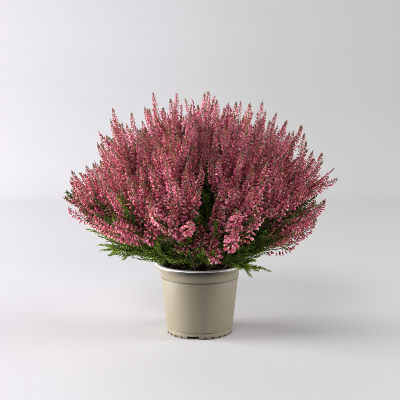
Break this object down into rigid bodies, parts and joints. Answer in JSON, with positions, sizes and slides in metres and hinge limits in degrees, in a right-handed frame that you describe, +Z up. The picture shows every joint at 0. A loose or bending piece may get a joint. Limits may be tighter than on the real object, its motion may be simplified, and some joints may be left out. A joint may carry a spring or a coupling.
{
  "type": "potted heather",
  "caption": "Bushy flowering heather in a tapered plastic nursery pot of peat, with pink flower spikes over green leafy stems.",
  "frame": {"origin": "on the ground, under the pot's axis", "axes": "+Z up along the pot's axis; -Y towards the front of the plant, with +X to its right"},
  "size_m": [0.3699, 0.3684, 0.3252],
  "materials": {
    "pot_plastic": "satin taupe outside, white inside and on the turned-over lip",
    "peat": "matte, moist, crumbly",
    "foliage": "matte scale leaves on brown woody stems",
    "blossom": "matte pink buds with paler tips"
  },
  "bodies": {
    "root": {"pot": "pot_plastic", "soil": "peat", "leafy_stem_01": "foliage", "leafy_stem_02": "foliage", "leafy_stem_03": "foliage", "leafy_stem_04": "foliage", "leafy_stem_05": "foliage", "leafy_stem_06": "foliage", "leafy_stem_07": "foliage", "leafy_stem_08": "foliage", "leafy_stem_09": "foliage", "leafy_stem_10": "foliage", "leafy_stem_11": "foliage", "leafy_stem_12": "foliage", "leafy_stem_13": "foliage", "leafy_stem_14": "foliage", "leafy_stem_15": "foliage", "leafy_stem_16": "foliage", "leafy_stem_17": "foliage", "leafy_stem_18": "foliage", "leafy_stem_19": "foliage", "leafy_stem_20": "foliage", "leafy_stem_21": "foliage", "leafy_stem_22": "foliage", "leafy_stem_23": "foliage", "leafy_stem_24": "foliage", "leafy_stem_25": "foliage", "flower_spray_01": "blossom", "flower_spray_02": "blossom", "flower_spray_03": "blossom", "flower_spray_04": "blossom", "flower_spray_05": "blossom", "flower_spray_06": "blossom", "flower_spray_07": "blossom", "flower_spray_08": "blossom", "flower_spray_09": "blossom", "flower_spray_10": "blossom", "flower_spray_11": "blossom", "flower_spray_12": "blossom", "flower_spray_13": "blossom", "flower_spray_14": "blossom", "flower_spray_15": "blossom", "flower_spray_16": "blossom", "flower_spray_17": "blossom", "flower_spray_18": "blossom", "flower_spray_19": "blossom", "flower_spray_20": "blossom", "flower_spray_21": "blossom", "flower_spray_22": "blossom", "flower_spray_23": "blossom", "flower_spray_24": "blossom", "flower_spray_25": "blossom", "low_shoot_01": "foliage", "low_shoot_02": "foliage", "low_shoot_03": "foliage", "low_shoot_04": "foliage", "low_shoot_05": "foliage", "low_shoot_06": "foliage"}
  },
  "joints": []
}
